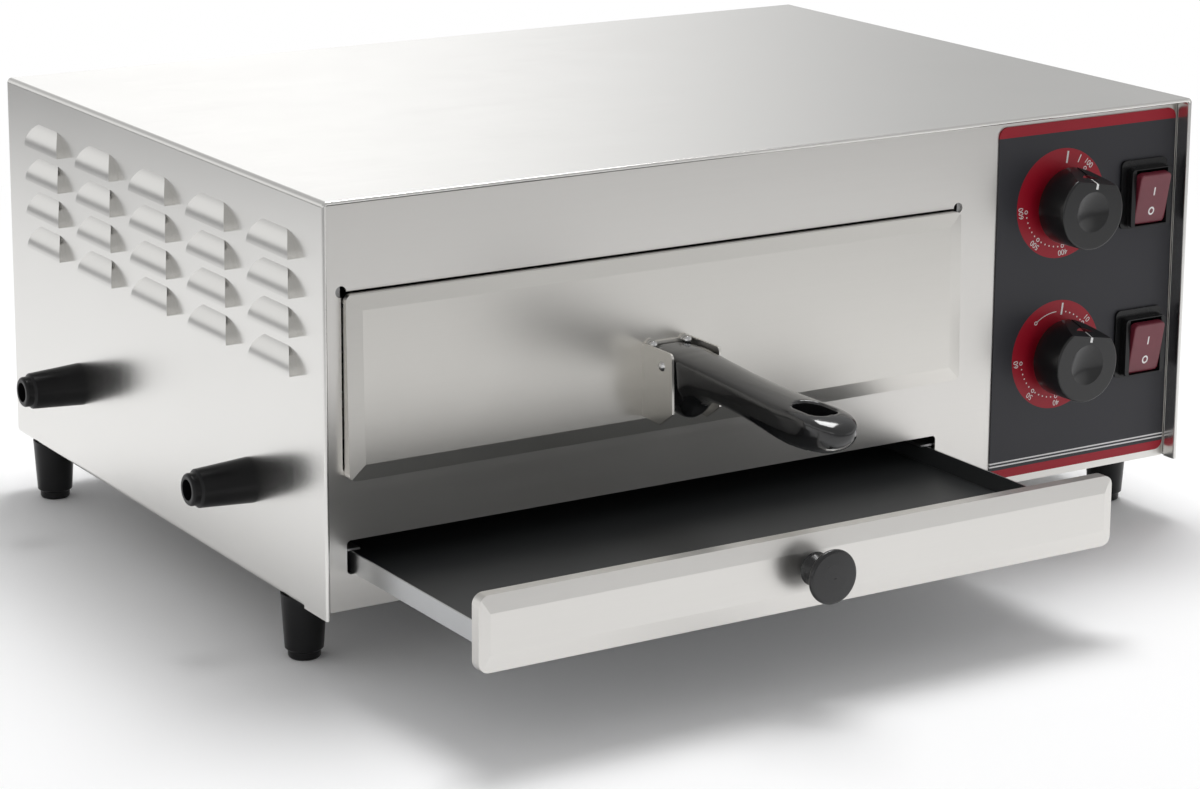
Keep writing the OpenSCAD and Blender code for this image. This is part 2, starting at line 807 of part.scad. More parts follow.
module element_bushings() placed() color(ceramic)
    for (z = [element_low_z, element_high_z], y = [run_y(0), run_y(element_runs - 1)])
        difference()
        {
            union()
            {
                pin_x(y, z, bay_x1 - bushing_in, bay_x1 + bushing_out, bushing_r);
                pin_x(y, z, bay_x1 + chamber_t + fit, bay_x1 + bushing_out / 2, bushing_r + 2.5);
            }
            pin_x(y, z, bay_x1 - bushing_in - past, bay_x1 + bushing_out + past, element_r + fit);
        }

// ---------- controls ----------

thermostat_w = 38;
thermostat_h = 42;
thermostat_d = 30;
timer_w = 54;
timer_h = 52;
timer_d = 40;
shaft_in = 14;                              // length of a shaft inside its control

module control_body(z, w, h, d)
{
    y0 = panel_back + fit;
    difference()
    {
        union()
        {
            slab(knob_x - w / 2, knob_x + w / 2, y0 + 2, y0 + d, z - h / 2, z + h / 2);
            slab(knob_x - w / 2 + 4, knob_x + w / 2 - 4, y0, y0 + 3, z - h / 2 - 6, z + h / 2 + 6);
            pin_y(knob_x, z, label_y, y0 + 3, shaft_hole - 0.4);
        }
        pin_y(knob_x, z, label_y - past, y0 + shaft_in + fit, shaft_r + pin_fit);
    }
    for (s = [-1, 1], k = [0, 1])
        slab(knob_x + s * w / 4 - 0.4, knob_x + s * w / 4 + 0.4, y0 + d - past, y0 + d + 8,
            z - 10 + k * 14, z - 4 + k * 14);
}

module thermostat_body() placed() color(ceramic)
    control_body(row_high, thermostat_w, thermostat_h, thermostat_d);

module timer_body() placed() color(dark_steel) control_body(row_low, timer_w, timer_h, timer_d);

module thermostat_shaft() placed() color(steel) control_shaft(row_high);
module timer_shaft() placed() color(steel) control_shaft(row_low);

module control_shaft(z)
{
    pin_y(knob_x, z, knob_face + 6, panel_back + shaft_in, shaft_r);
}

// sensing bulb clipped under the chamber's ceiling, with its thin tube to the thermostat
bulb_r = 3;
bulb_l = 70;
bulb_y = panel_back + 24;
bulb_z = chamber_top - 10;
capillary_r = 0.8;
capillary_x = bay_x1 + 14;

module thermostat_bulb() placed() color([0.72, 0.45, 0.3])
{
    top = row_high + 4;
    tap_y = panel_back + fit + thermostat_d + 5;
    bend = 4;
    end_x = knob_x - thermostat_w / 4 - bend;
    pin_x(bulb_y, bulb_z, bay_x1 - 14 - bulb_l, bay_x1 - 14, bulb_r);
    pin_x(bulb_y, bulb_z, bay_x1 - 15, capillary_x, capillary_r);
    bend_z(capillary_x, bulb_y + bend, bulb_z, bend, capillary_r, 270, 90);
    pin_y(capillary_x + bend, bulb_z, bulb_y + bend, tap_y + 20, capillary_r);
    bend_z(capillary_x + 2 * bend, tap_y + 20, bulb_z, bend, capillary_r, 90, 90);
    pin_x(tap_y + 20 + bend, bulb_z, capillary_x + 2 * bend, end_x, capillary_r);
    translate([end_x, tap_y + 20 + bend, bulb_z - bend]) rotate([90, 0, 0])
        rotate_extrude(angle = 90) translate([bend, 0]) circle(capillary_r);
    translate([end_x + bend, tap_y + 20 + bend, top]) cylinder(h = bulb_z - bend - top, r = capillary_r);
    translate([end_x + bend, tap_y + 20, top]) rotate([0, 90, 0]) rotate([0, 0, 0])
        rotate_extrude(angle = 90) translate([bend, 0]) circle(capillary_r);
    pin_y(end_x + bend, top - bend, panel_back + fit + thermostat_d, tap_y + 20, capillary_r);
    for (x = [bay_x1 - 14 - bulb_l + 12, bay_x1 - 26])
        slab(x, x + 6, bulb_y - 1, bulb_y + 1, bulb_z, chamber_top);
}

// ---------- switches ----------

module switch_housing(row)
{
    z = row - switch_dz;
    half = rocker_w / 2;
    deep = 0.7 * rocker_r + 2.6;
    y1 = panel_back + body_switch_d;
    difference()
    {
        union()
        {
            round_slab(switch_x - bezel_w / 2, switch_x + bezel_w / 2, bezel_y + 2.6, label_y,
                z - bezel_h / 2, z + bezel_h / 2, 2.4);
            round_slab(switch_x - bezel_w / 2 + 0.4, switch_x + bezel_w / 2 - 0.4, bezel_y,
                bezel_y + 2.6, z - bezel_h / 2 + 0.4, z + bezel_h / 2 - 0.4, 2);
            round_slab(switch_x - bezel_w / 2 - gasket_side, switch_x + bezel_w / 2, label_y - gasket_t,
                label_y, z - bezel_h / 2 - 1, z + bezel_h / 2 + gasket_up, 3);
            slab(switch_x - body_switch_w / 2, switch_x + body_switch_w / 2, label_y - 0.6, y1,
                z - body_switch_h / 2, z + body_switch_h / 2);
            for (k = [-1, 0, 1])
                slab(switch_x - 3.2, switch_x + 3.2, y1 - past, y1 + 9, z + k * 9 - 0.4, z + k * 9 + 0.4);
        }
        slab(switch_x - half - run, switch_x + half + run, bezel_y - past, label_y - 0.1,
            z - rocker_r - run, z + rocker_r + run);
        slab(switch_x - half - run, switch_x + half + run, bezel_y, rocker_y + rocker_back + 3,
            z - deep, z + deep);
        pin_x(rocker_y, z, switch_x - half - 1.8, switch_x + half + 1.8, rocker_pin_r + pin_fit);
    }
}

module upper_switch_housing() placed() color(black) switch_housing(row_high);
module lower_switch_housing() placed() color(black) switch_housing(row_low);

// rocker standing at OFF, its upper end out
rocker_pin_r = 1.2;

module rocker(row)
{
    half = rocker_w / 2;
    translate([0, rocker_y, row - switch_dz]) rotate([rocker_tilt, 0, 0])
    {
        intersection()
        {
            pin_x(0, 0, switch_x - half, switch_x + half, rocker_r);
            along_x(switch_x - half, switch_x + half)
                polygon([[-rocker_face, -rocker_r], [-1, -rocker_r], [0.6, -0.7 * rocker_r],
                    [rocker_back, -0.55 * rocker_r], [rocker_back, 0.55 * rocker_r],
                    [0.6, 0.7 * rocker_r], [-1, rocker_r], [-rocker_face, rocker_r]]);
            round_slab(switch_x - half, switch_x + half, -rocker_r, rocker_r, -rocker_r + 0.4,
                rocker_r - 0.4, 2.6);
        }
        pin_x(0, 0, switch_x - half - 1.6, switch_x + half + 1.6, rocker_pin_r);
    }
}

module upper_rocker() placed() color([0.62, 0.12, 0.17]) rocker(row_high);
module lower_rocker() placed() color([0.62, 0.12, 0.17]) rocker(row_low);

// ---------- control knobs ----------

module knob(row)
{
    lip = 1;
    skirt = 2.6;
    dish_r = 10.3;
    dish_d = 2.4;
    ball = (dish_r * dish_r + dish_d * dish_d) / (2 * dish_d);
    drop = 5.2;
    slope = atan(drop / knob_l);
    difference()
    {
        turned_y(knob_x, knob_back, row) difference()
        {
            union()
            {
                polygon([[0, 0], [knob_r, 0], [knob_face_r, knob_l - lip], [knob_face_r - lip, knob_l],
                    [0, knob_l]]);
                translate([knob_face_r - lip, knob_l - lip]) circle(lip);
                translate([0, -knob_off + 1]) square([knob_hub_r, knob_off]);
            }
            translate([-1, -knob_off]) square([1, knob_l + 2 * knob_off]);
            translate([knob_hub_r, -past]) square([knob_r - skirt - knob_hub_r, knob_l - 6 + past]);
        }
        translate([knob_x, knob_face - ball + dish_d, row]) sphere(ball);
        pin_y(knob_x, row, knob_face + 6 - fit, label_y, shaft_r + 0.02);
        knob_turned(row) pointer_cut(knob_r, drop, slope);
    }
}

module knob_turned(row)
{
    translate([knob_x, knob_back, row]) rotate([0, pointer_turn, 0]) children();
}

// sloping flat on the knob's rim, with the groove of its pointer
module pointer_cut(r, drop, slope)
{
    groove_w = 1.6;
    groove_d = 0.35;
    translate([0, 0, r]) rotate([slope, 0, 0])
    {
        slab(-r, r, -3 * r, 0, 0, r);
        slab(-groove_w / 2, groove_w / 2, -3 * r, 2, -groove_d, r);
    }
}

module temperature_knob() placed() color(black) knob(row_high);
module timer_knob() placed() color(black) knob(row_low);

// ---------- power entry ----------

module terminal_block() placed() color(ceramic)
{
    x = label_x0 + 30;
    y = back_in - 90;
    difference()
    {
        slab(x, x + 22, y, y + 50, floor_z, floor_z + 16);
        for (k = [0, 1, 2])
        {
            pin_x(y + 9 + 16 * k, floor_z + 7, x - past, x + 22 + past, 2.4);
            translate([x + 6, y + 9 + 16 * k, floor_z + 7]) cylinder(h = 12, r = 2);
            translate([x + 16, y + 9 + 16 * k, floor_z + 7]) cylinder(h = 12, r = 2);
        }
        for (k = [0, 1])
            slab(x - past, x + 22 + past, y + 15.5 + 16 * k, y + 18.5 + 16 * k, floor_z + 11, floor_z + 17);
    }
}

module cord_bushing() placed() color(black) turned_y(cord_x, body_d + cord_out, cord_z) difference()
{
    union()
    {
        polygon([[0, 0], [cord_hole + 0.6, 0], [cord_hole + 2.6, cord_out - 1.5],
            [cord_hole + 2.6, cord_out + sheet_t - fit], [0, cord_out + sheet_t - fit]]);
        square([cord_hole, cord_out + 14]);
        translate([0, cord_out + 2 * sheet_t + fit]) square([cord_hole + 1.6, 3]);
    }
    translate([-1, -past]) square([1 + cord_r, cord_out + 20]);
}

// ---------- feet ----------

// one foot, its wide end at the origin and its tip at -z
module foot()
{
    body_l = foot_h - 5;
    waist = foot_tip_r + 1.2;
    r = 1.5;
    rotate([180, 0, 0]) rotate_extrude() difference()
    {
        union()
        {
            polygon([[0, 0], [foot_r, 0], [waist + 0.2, body_l], [waist - 0.6, body_l + 0.8],
                [foot_tip_r, body_l + 1.2], [foot_tip_r, foot_h - r], [foot_tip_r - r, foot_h - r],
                [foot_tip_r - r, foot_h], [0, foot_h]]);
            translate([foot_tip_r - r, foot_h - r]) circle(r);
        }
        translate([0, foot_web]) square([foot_bore, foot_h]);
        square([screw_r + fit, 2 * foot_web]);
        translate([-foot_h, -1]) square([foot_h, foot_h + 2]);
    }
}

module foot_at(x, y)
{
    translate([x, y, 0]) foot();
}

module foot_front_left() placed() color(black) foot_at(-foot_x, foot_front);
module foot_front_right() placed() color(black) foot_at(foot_x, foot_front);
module foot_rear_left() placed() color(black) foot_at(-foot_x, foot_yb);
module foot_rear_right() placed() color(black) foot_at(foot_x, foot_yb);

module bumper_at(y)
{
    translate([-half_w, y, bumper_z]) rotate([0, 90, 0]) foot();
}

module side_bumper_front() placed() color(black) bumper_at(bumper_front);
module side_bumper_rear() placed() color(black) bumper_at(bumper_yb);

// screw with a round head at -z and a nut past the sheets, standing along z
module foot_screw(sheets)
{
    head_h = 2.6;
    translate([0, 0, -foot_web - head_h]) cylinder(h = head_h, r = screw_r + 2);
    translate([0, 0, -foot_web - past]) cylinder(h = foot_web + past + sheets + 5, r = screw_r);
    translate([0, 0, sheets + fit]) cylinder(h = 3.5, r = screw_r + 2, $fn = 6);
}

module foot_screws() placed() color(steel)
    for (s = [-1, 1], y = [foot_front, foot_yb]) translate([s * foot_x, y, 0]) foot_screw(floor_z);

module bumper_screws() placed() color(steel)
    for (y = [bumper_front, bumper_yb])
        translate([-half_w, y, bumper_z]) rotate([0, 90, 0]) foot_screw(sheet_t);

// ---------- door ----------

// solid under the door's surface, moved in by one sheet for the inside
module door_form(inset)
{
    z0 = door_z + inset;
    z1 = door_top - inset;
    x0 = door_x0 + inset;
    x1 = door_x1 - inset;
    rear = door_rear + inset * 2;
    intersection()
    {
        difference()
        {
            along_x(x0, x1) polygon([[rear, z0], [rim_at(z0) + inset, z0],
                [face_at(z0 + door_hip) + inset, z0 + door_hip],
                [face_at(z1 - door_hip) + inset, z1 - door_hip], [rim_at(z1) + inset, z1 - door_edge],
                [rim_at(z1) + inset + door_edge, z1], [rear, z1]]);
            door_side_cut(x0, inset, 1);
            door_side_cut(x1, inset, -1);
        }
        round_slab(x0, x1, -20, rear, z0, z1, door_r - inset);
    }
}

// wedge that gives the left or right border its slope
module door_side_cut(x, inset, side)
{
    y = rim_y + inset;
    translate([x, 0, door_top]) translate([0, y, 0]) rotate([-door_lean, 0, 0])
        translate([0, 0, -1.2 * door_h]) linear_extrude(1.4 * door_h)
            polygon([[-side * past, -20], [-side * past, door_hip_d * past / door_hip],
                [side * door_hip, -door_hip_d], [side * door_hip, -20]]);
}

module door_skin() placed() color(steel) difference()
{
    union()
    {
        difference()
        {
            door_form(0);
            door_form(door_t);
        }
        for (x = [door_x0, door_x1 - door_t]) pin_x(hinge_y, hinge_z, x, x + door_t, ear_r);
    }
    for (x = [door_x0, door_x1 - door_t])
        pin_x(hinge_y, hinge_z, x - past, x + door_t + past, hinge_pin_r + fit / 2);
}

liner_top = hinge_z - hinge_lug_r - 1.2;

module door_liner() placed() color(dark_steel)
{
    y0 = door_rear - door_t;
    gap = door_t + fit;
    round_slab(door_x0 + gap, door_x1 - gap, y0, door_rear, door_z + gap, liner_top, door_r - gap);
}

module hinge_pins() placed() color(steel)
{
    hinge_pin(door_x0, lug_x0 + lug_t + 0.8);
    hinge_pin(lug_x1 - 0.8, door_x1);
}

module hinge_pin(x0, x1)
{
    pin_x(hinge_y, hinge_z, x0, x1, hinge_pin_r);
}

// ---------- handle, built on the leaning face of the door ----------

// local frame: y = 0 on the door's face, -y outwards, z = 0 at the bracket's middle
module on_door()
{
    translate([handle_x, face_at(bracket_z), bracket_z]) rotate([-door_lean, 0, 0]) children();
}

bracket_rivet_r = 1.5;
bracket_rivet_x = 9.6;
bracket_rivet_z = bracket_h / 2 - 1;
bracket_rivet_l = 4;                        // from the bracket's back to the rivets' heads
rivet_d = 17;
rivet_z = 9.8;

module bracket_cheek(x)
{
    half = bracket_h / 2;
    r = 2.5;
    drop = 0.6;
    along_x(x, x + bracket_t) union()
    {
        polygon([[0, -half], [-0.58 * bracket_d, -half - 1], [-bracket_d, -half + 6],
            [-bracket_d, half - drop - r], [-bracket_d + r, half - drop], [0, half]]);
        translate([-bracket_d + r, half - drop - r]) circle(r);
    }
}

module handle_bracket() placed() on_door() color(steel) difference()
{
    union()
    {
        slab(-bracket_w / 2, bracket_w / 2, -bracket_t, 0, -bracket_h / 2, bracket_h / 2);
        for (s = [-1, 1])
            pin_y(s * bracket_rivet_x, bracket_rivet_z, -bracket_t, 0, bracket_rivet_r + 1.2);
        bracket_cheek(-bracket_w / 2);
        bracket_cheek(bracket_w / 2 - bracket_t);
    }
    pin_x(-rivet_d, rivet_z, -bracket_w, bracket_w, handle_rivet_r + fit);
    for (s = [-1, 1])
        pin_y(s * bracket_rivet_x, bracket_rivet_z, -bracket_t - past, past, bracket_rivet_r + fit);
}

module bracket_rivets() placed() on_door() color(steel)
    for (s = [-1, 1])
        turned_y(s * bracket_rivet_x, 0, bracket_rivet_z)
            rivet_outline(bracket_rivet_r, 0, bracket_rivet_l, 1.35);

module handle_rivet() placed() on_door() color(steel)
{
    half = bracket_w / 2;
    translate([0, -rivet_d, rivet_z]) for (s = [0, 1]) mirror([s, 0, 0])
        rotate([0, 90, 0]) rotate_extrude() rivet_outline(handle_rivet_r, 0, half, 1.5);
}

// half outline of a rivet from its inner end to the low dome of its head
module rivet_outline(r, from, seat, spread)
{
    head = r * spread;
    ball = head * 1.15;
    translate([0, from]) square([r, seat - from + 0.2]);
    intersection()
    {
        translate([0, seat - sqrt(ball * ball - head * head)]) circle(ball);
        translate([0, seat]) square([head, 2 * ball]);
    }
}

// stations along the handle: [share of its reach, height of the side crease, rise of the crown,
// half width, underside height, half width of the underside]
handle_stations = [
    [0.012, 14.6, 1.6, 12.3, -14.5, 8.5],
    [0.110, 14.2, 1.8, 12.3, -15.6, 8.0],
    [0.155, 13.7, 1.9, 12.2, -15.8, 7.6],
    [0.185, 13.3, 2.1, 12.0, -13.0, 7.4],
    [0.215, 12.9, 2.2, 11.8, -8.5, 7.4],
    [0.260, 12.3, 2.4, 11.4, -5.0, 7.4],
    [0.330, 11.4, 2.6, 11.0, -3.4, 7.4],
    [0.440, 10.0, 2.8, 10.7, -4.2, 7.4],
    [0.550, 8.8, 3.0, 11.0, -6.0, 7.6],
    [0.650, 7.9, 3.2, 11.8, -8.0, 8.2],
    [0.740, 7.2, 3.5, 12.6, -9.4, 8.8],
    [0.820, 6.8, 3.8, 13.0, -9.8, 9.0],
    [0.890, 6.4, 3.8, 12.4, -8.8, 8.4],
    [0.940, 5.6, 3.3, 10.8, -6.6, 7.0],
    [0.975, 4.6, 2.4, 7.9, -4.0, 5.0],
    [0.994, 3.6, 1.3, 4.4, -1.0, 2.8],
    [1.000, 3.0, 0.5, 1.8, 1.2, 1.0]];
ring_steps = 10;                            // points of each half of a cross section

// one cross section: a crown from crease to crease, then a rounded belly
function handle_ring(s) = concat(
    [for (i = [0 : ring_steps])
        let (a = 180 * i / ring_steps)
        [s[3] * cos(a), -s[0] * handle_len, s[1] + s[2] * pow(sin(a), 0.8)]],
    [for (i = [1 : ring_steps - 1])
        let (a = 180 + 180 * i / ring_steps, k = abs(sin(a)))
        [(s[3] + (s[5] - s[3]) * pow(k, 3)) * belly_x(a), -s[0] * handle_len,
            s[1] + (s[4] - s[1]) * pow(k, 0.62)]]);
function belly_x(a) = sign(cos(a)) * pow(abs(cos(a)), 0.62);

// halfway between two stations, on a smooth curve through their neighbours
function halfway(a, b, c, d) = (9 * (b + c) - a - d) / 16;
last_station = len(handle_stations) - 1;
handle_rings = [for (i = [0 : last_station])
    let (s = handle_stations[i]) each i == last_station ? [s]
        : [s, halfway(handle_stations[max(i - 1, 0)], s, handle_stations[i + 1],
            handle_stations[min(i + 2, last_station)])]];

module handle_loft()
{
    rings = [for (s = handle_rings) handle_ring(s)];
    n = len(rings[0]);
    m = len(rings);
    points = [for (r = rings) each r];
    sides = [for (j = [0 : m - 2], i = [0 : n - 1]) let (k = (i + 1) % n) each
        [[j * n + i, j * n + k, (j + 1) * n + k], [j * n + i, (j + 1) * n + k, (j + 1) * n + i]]];
    near = [for (i = [1 : n - 2]) [0, i + 1, i]];
    far = [for (i = [1 : n - 2]) [(m - 1) * n, (m - 1) * n + i, (m - 1) * n + i + 1]];
    polyhedron(points, concat(sides, near, far));
}

module handle() placed() on_door() color(black) difference()
{
    intersection()
    {
        handle_loft();
        slab(-bracket_w / 2 + bracket_t + fit, bracket_w / 2 - bracket_t - fit, -handle_len - 1,
            -bracket_t - fit, -40, 40);
    }
    pin_x(-rivet_d, rivet_z, -bracket_w, bracket_w, handle_rivet_r + fit);
    translate([0, -handle_len + hang_in, -30])
    {
        for (s = [-1, 1]) translate([0, s * (hang_l - hang_w) / 2, 0]) cylinder(h = 60, r = hang_w / 2);
        translate([-hang_w / 2, -(hang_l - hang_w) / 2, 0]) cube([hang_w, hang_l - hang_w, 60]);
    }
    for (s = [-1, 1])
        pin_y(s * bracket_rivet_x, bracket_rivet_z, -bracket_rivet_l - bracket_rivet_r, 0,
            bracket_rivet_r + 1.4);
}

// ---------- crumb tray ----------

module crumb_tray_pan() placed() color([0.62, 0.65, 0.68])
{
    x0 = tray_mid - pan_w / 2;
    x1 = tray_mid + pan_w / 2;
    difference()
    {
        union()
        {
            slab(x0, x1, pan_y, pan_y + pan_d, pan_z, pan_z + pan_h);
            slab(x0, x1, pan_y, pan_y + pan_t, pan_z, pan_z + pan_front_h);
        }
        slab(x0 + pan_t, x1 - pan_t, pan_y + pan_t, pan_y + pan_d - pan_t, pan_z + pan_t,
            pan_z + pan_front_h);
        pin_y(tray_mid, knob_z, pan_y - past, pan_y + pan_t + past, tray_screw_r + fit);
    }
}

knob_z = front_z + 0.52 * front_h;
tray_screw_r = 2;

module front_form(inset)
{
    x0 = tray_mid - front_w / 2 + inset;
    x1 = tray_mid + front_w / 2 - inset;
    z0 = front_z + inset;
    z1 = front_z + front_h - inset;
    y = front_y + inset;
    rear = front_y + front_d + 2 * inset;
    intersection()
    {
        along_x(x0, x1) polygon([[rear, z0], [y + front_hip_d, z0], [y, z0 + front_hip],
            [y, z1 - front_hip], [y + front_hip_d, z1], [rear, z1]]);
        translate([0, 0, z0 - past]) linear_extrude(z1 - z0 + 2 * past)
            polygon([[x0, rear], [x0, y + front_hip_d], [x0 + front_end_hip, y], [x1 - front_end_hip, y],
                [x1, y + front_hip_d], [x1, rear]]);
        round_slab(x0, x1, y - past, rear, z0, z1, 5 - inset);
    }
}

module crumb_tray_front() placed() color(steel) difference()
{
    front_form(0);
    front_form(pan_t);
    pin_y(tray_mid, knob_z, front_y - past, front_y + 4, tray_screw_r + fit);
}

module tray_knob() placed() color(black) turned_y(tray_mid, front_y, knob_z) difference()
{
    r = tray_knob_r;
    l = tray_knob_l;
    edge = 1.6;
    union()
    {
        polygon([[0, 0], [0.62 * r, 0], [0.56 * r, 1], [0.42 * r, 0.3 * l], [0.42 * r, 0.42 * l],
            [0.6 * r, 0.62 * l], [r - edge, l - 2 * edge], [r - edge, l - 0.6], [0.5 * r, l - 0.2],
            [0, l]]);
        translate([r - edge, l - edge - 0.6]) circle(edge);
    }
    translate([-2 * r, -1]) square([2 * r, 2 * l]);
    translate([0, -1]) square([tray_screw_r, 0.6 * l + 1]);
}

module tray_knob_screw() placed() color(steel)
{
    head_y = pan_y + pan_t;
    pin_y(tray_mid, knob_z, front_y - 0.5 * tray_knob_l, head_y + past, tray_screw_r - 0.05);
    pin_y(tray_mid, knob_z, head_y, head_y + 2.2, tray_screw_r + 1.8);
}

outer_wrapper();
back_panel();
base_pan();
front_panel();
control_label();
oven_chamber();
heat_shield();
hinge_lug_left();
hinge_lug_right();
tray_rail_left();
tray_rail_right();
rack_ledge_left();
rack_ledge_right();
wire_rack();
upper_element();
lower_element();
upper_element_hangers();
lower_element_stands();
element_bushings();
thermostat_body();
thermostat_bulb();
timer_body();
upper_switch_housing();
lower_switch_housing();
terminal_block();
cord_bushing();
back_panel_screws();
foot_front_left();
foot_front_right();
foot_rear_left();
foot_rear_right();
foot_screws();
side_bumper_front();
side_bumper_rear();
bumper_screws();
door_skin();
door_liner();
hinge_pins();
handle_bracket();
handle();
handle_rivet();
bracket_rivets();
crumb_tray_pan();
crumb_tray_front();
tray_knob();
tray_knob_screw();
temperature_knob();
thermostat_shaft();
timer_knob();
timer_shaft();
upper_rocker();
lower_rocker();
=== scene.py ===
import math

import bpy
from mathutils import Euler, Matrix, Vector


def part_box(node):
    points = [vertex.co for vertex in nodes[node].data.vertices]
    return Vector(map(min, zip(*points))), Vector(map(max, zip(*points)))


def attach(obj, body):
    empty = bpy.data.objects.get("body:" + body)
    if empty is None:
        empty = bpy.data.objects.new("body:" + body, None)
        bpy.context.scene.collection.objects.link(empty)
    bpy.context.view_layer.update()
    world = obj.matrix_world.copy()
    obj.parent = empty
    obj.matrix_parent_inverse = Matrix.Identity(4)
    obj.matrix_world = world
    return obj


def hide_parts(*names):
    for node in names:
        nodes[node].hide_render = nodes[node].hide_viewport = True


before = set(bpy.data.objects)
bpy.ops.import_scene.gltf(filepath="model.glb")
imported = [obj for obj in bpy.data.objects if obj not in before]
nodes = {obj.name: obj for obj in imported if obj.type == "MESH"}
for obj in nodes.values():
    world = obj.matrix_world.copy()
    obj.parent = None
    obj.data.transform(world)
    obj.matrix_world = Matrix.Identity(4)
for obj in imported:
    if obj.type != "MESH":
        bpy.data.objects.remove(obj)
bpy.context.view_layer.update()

mm = 0.001
print("frame loaded:", len(nodes), "pieces")


# ---- shader helpers ----

class Wire:
    # one socket of a shader tree, which can be used in sums with numbers on either side
    def __init__(self, paint, socket):
        self.paint = paint
        self.socket = socket

    def maths(self, operation, first, second=0.0):
        return self.paint.node("ShaderNodeMath", {"operation": operation}, {0: first, 1: second})

    def __add__(self, other):
        return self.maths("ADD", self, other)

    __radd__ = __add__

    def __sub__(self, other):
        return self.maths("SUBTRACT", self, other)

    def __rsub__(self, other):
        return self.maths("SUBTRACT", other, self)

    def __mul__(self, other):
        return self.maths("MULTIPLY", self, other)

    __rmul__ = __mul__

    def __truediv__(self, other):
        return self.maths("DIVIDE", self, other)

    def __pow__(self, other):
        return self.maths("POWER", self, other)

    def __lt__(self, other):
        return self.maths("LESS_THAN", self, other)

    def __gt__(self, other):
        return self.maths("GREATER_THAN", self, other)

    def between(self, low, high):  # 1 from low to high, 0 outside
        return (self > low) * (self < high)

    def near(self, value, reach):  # 1 within reach of a value
        return self.between(value - reach, value + reach)

    def size(self):
        return self.maths("ABSOLUTE", self)

    def angleTo(self, other):  # clockwise from the other axis, in degrees from 0 to 360
        degrees = self.maths("ARCTAN2", self, other) * (180 / math.pi)
        return self.maths("MODULO", degrees + 360.0, 360.0)

    def remainder(self, step):
        return self.maths("MODULO", self, step)

    def ramp(self, low, high):  # from 0 at low to 1 at high, with soft ends
        return self.paint.node("ShaderNodeMapRange", {"interpolation_type": "SMOOTHSTEP"}, {
            "Value": self, "From Min": low, "From Max": high})

    def orElse(self, other):  # the larger of two masks
        return self.maths("MAXIMUM", self, other)


class Paint:
    # the node tree of a new material, or of the world when that is given
    def __init__(self, name, world=None):
        self.material = world or bpy.data.materials.new(name)
        self.material.use_nodes = True
        self.tree = self.material.node_tree
        self.shader = self.tree.nodes.get("Principled BSDF")

    def node(self, kind, settings=None, values=None, output=0):
        made = self.tree.nodes.new(kind)
        for name, value in (settings or {}).items():
            setattr(made, name, value)
        for name, value in (values or {}).items():
            self.feed(made.inputs[name], value)
        return Wire(self, made.outputs[output])

    def feed(self, socket, value):
        if isinstance(value, Wire):
            self.tree.links.new(value.socket, socket)
        elif isinstance(value, tuple) and len(value) == 3 and socket.type == "RGBA":
            socket.default_value = (*value, 1)
        else:
            socket.default_value = value

    def set(self, **values):
        for name, value in values.items():
            self.feed(self.shader.inputs[name.replace("_", " ")], value)
        return self

    def place(self):  # where a point lies on the part, in metres
        return self.node("ShaderNodeTexCoord", output="Object")

    def axes(self, where):
        split = self.tree.nodes.new("ShaderNodeSeparateXYZ")
        self.tree.links.new(where.socket, split.inputs[0])
        return [Wire(self, socket) for socket in split.outputs]

    def noise(self, where, scale, detail=3.0, rough=0.5, stretch=(1, 1, 1)):
        scaled = self.node("ShaderNodeMapping", values={"Vector": where, "Scale": stretch})
        return self.node("ShaderNodeTexNoise", values={
            "Vector": scaled, "Scale": scale, "Detail": detail, "Roughness": rough})

    def mixColour(self, factor, first, second):
        made = self.tree.nodes.new("ShaderNodeMix")
        made.data_type = "RGBA"
        self.feed(made.inputs["Factor"], factor)
        self.feed(made.inputs[6], first)
        self.feed(made.inputs[7], second)
        return Wire(self, made.outputs[2])

    def bump(self, height, strength, distance):
        return self.node("ShaderNodeBump", values={
            "Height": height, "Strength": strength, "Distance": distance})


# ---- finishes ----

steelFinish = {
    "light": (0.80, 0.795, 0.78),
    "dark": (0.745, 0.74, 0.725),
    "roughness": 0.235,
    "roughnessSpread": 0.10,
    "grain": 3200.0,      # streaks to a metre, across the grain
    "stretch": 0.015,     # along the grain
    "streakDepth": 0.000012,
    "streakPull": 0.5,
}


def brushedSteel(name, along, finish=steelFinish, tint=(1, 1, 1), roughness=0.0):
    paint = Paint(name)
    where = paint.place()
    stretch = [finish["stretch"] if axis in along else 1.0 for axis in "xyz"]
    fine = paint.noise(where, finish["grain"], 2.0, 0.6, stretch)
    broad = paint.noise(where, finish["grain"] / 9, 2.0, 0.5, stretch)
    cloud = paint.noise(where, 7.0, 2.0)
    smudge = paint.noise(where, 24.0, 4.0, 0.6)
    streak = fine * 0.65 + broad * 0.35
    light = tuple(c * t for c, t in zip(finish["light"], tint))
    dark = tuple(c * t for c, t in zip(finish["dark"], tint))
    colour = paint.mixColour(streak * 0.7 + cloud * 0.3, dark, light)
    rough = (finish["roughness"] + roughness + (streak - 0.5) * finish["roughnessSpread"]
             + (cloud - 0.5) * 0.04 + (smudge - 0.5) * 0.05)
    paint.set(Base_Color=colour, Metallic=1.0, Roughness=rough,
              Normal=paint.bump(fine, finish["streakPull"], finish["streakDepth"]))
    return paint.material


def dullMetal(name, light, dark, roughness):
    paint = Paint(name)
    where = paint.place()
    cloud = paint.noise(where, 26.0, 4.0, 0.6)
    grit = paint.noise(where, 900.0, 2.0)
    paint.set(Base_Color=paint.mixColour(cloud, dark, light), Metallic=1.0,
              Roughness=roughness + (cloud - 0.5) * 0.12,
              Normal=paint.bump(grit, 0.15, 0.00003))
    return paint.material


